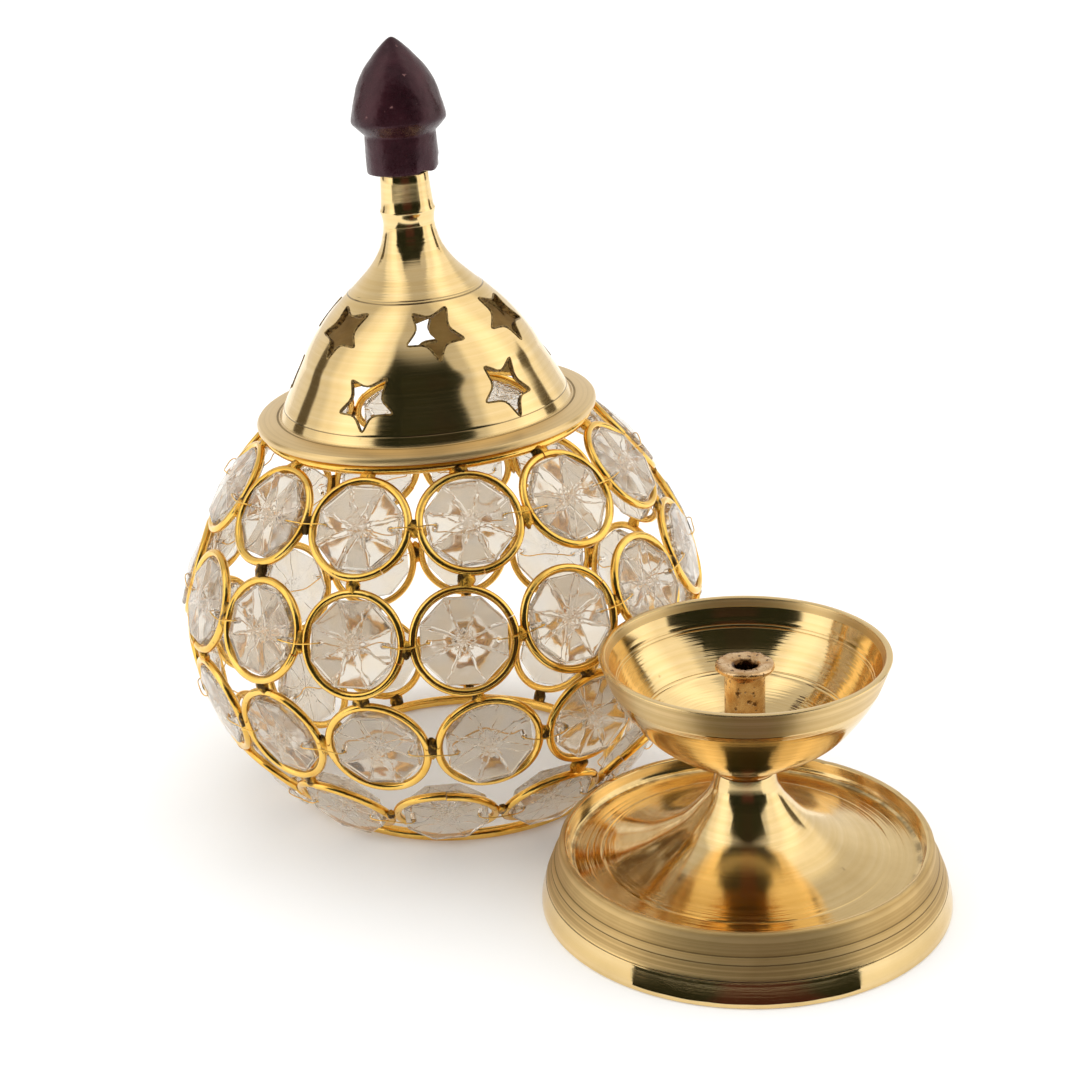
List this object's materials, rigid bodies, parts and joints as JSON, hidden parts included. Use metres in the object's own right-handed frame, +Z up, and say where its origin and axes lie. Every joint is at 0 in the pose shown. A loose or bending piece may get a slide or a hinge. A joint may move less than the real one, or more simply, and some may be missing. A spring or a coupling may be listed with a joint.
{
  "type": "crystal shaded incense and oil burner",
  "caption": "Turned brass burner bowl on a trumpet foot with a rimmed tray, beside its lift-off cage cover of ringed crystal beads under a pierced dome lid with a knob.",
  "frame": {"origin": "centre of the two standing pieces' overall box, on the table surface", "axes": "+Z up; the base stands towards +X -Y and its cover towards -X +Y; the front faces -Y"},
  "size_m": [0.1552, 0.1554, 0.1602],
  "materials": {
    "turned_brass": "lathe-turned and polished, fine turning lines",
    "cast_brass": "rough cast, pitted",
    "gold_wire": "bright gold plated wire",
    "crystal": "clear faceted",
    "knob": "dark maroon moulded phenolic, slightly worn",
    "steel": "plain zinc-plated fasteners"
  },
  "bodies": {
    "base": {"foot": "turned_brass", "bowl": "turned_brass", "bowl_nut": "steel"},
    "wick_holder": {"wick_holder": "cast_brass"},
    "cover": {"lid": "turned_brass", "knob": "knob", "knob_screw": "steel", "top_hoop": "gold_wire", "ring_row_1": "gold_wire", "ring_row_2": "gold_wire", "ring_row_3": "gold_wire", "ring_row_4": "gold_wire", "bottom_hoop": "gold_wire", "bead_1_01": "crystal", "bead_1_02": "crystal", "bead_1_03": "crystal", "bead_1_04": "crystal", "bead_1_05": "crystal", "bead_1_06": "crystal", "bead_1_07": "crystal", "bead_1_08": "crystal", "bead_1_09": "crystal", "bead_1_10": "crystal", "bead_1_11": "crystal", "bead_1_12": "crystal", "bead_2_01": "crystal", "bead_2_02": "crystal", "bead_2_03": "crystal", "bead_2_04": "crystal", "bead_2_05": "crystal", "bead_2_06": "crystal", "bead_2_07": "crystal", "bead_2_08": "crystal", "bead_2_09": "crystal", "bead_2_10": "crystal", "bead_2_11": "crystal", "bead_2_12": "crystal", "bead_2_13": "crystal", "bead_2_14": "crystal", "bead_2_15": "crystal", "bead_3_01": "crystal", "bead_3_02": "crystal", "bead_3_03": "crystal", "bead_3_04": "crystal", "bead_3_05": "crystal", "bead_3_06": "crystal", "bead_3_07": "crystal", "bead_3_08": "crystal", "bead_3_09": "crystal", "bead_3_10": "crystal", "bead_3_11": "crystal", "bead_3_12": "crystal", "bead_3_13": "crystal", "bead_3_14": "crystal", "bead_3_15": "crystal", "bead_string_4": "crystal"}
  },
  "joints": [
    {"name": "cover_lift", "type": "slide", "parent": "base", "child": "cover", "axis": [0, 0, 1], "range_m": [0, 0.07]},
    {"name": "wick_holder_lift", "type": "slide", "parent": "base", "child": "wick_holder", "axis": [0, 0, 1], "range_m": [0, 0.03]}
  ]
}
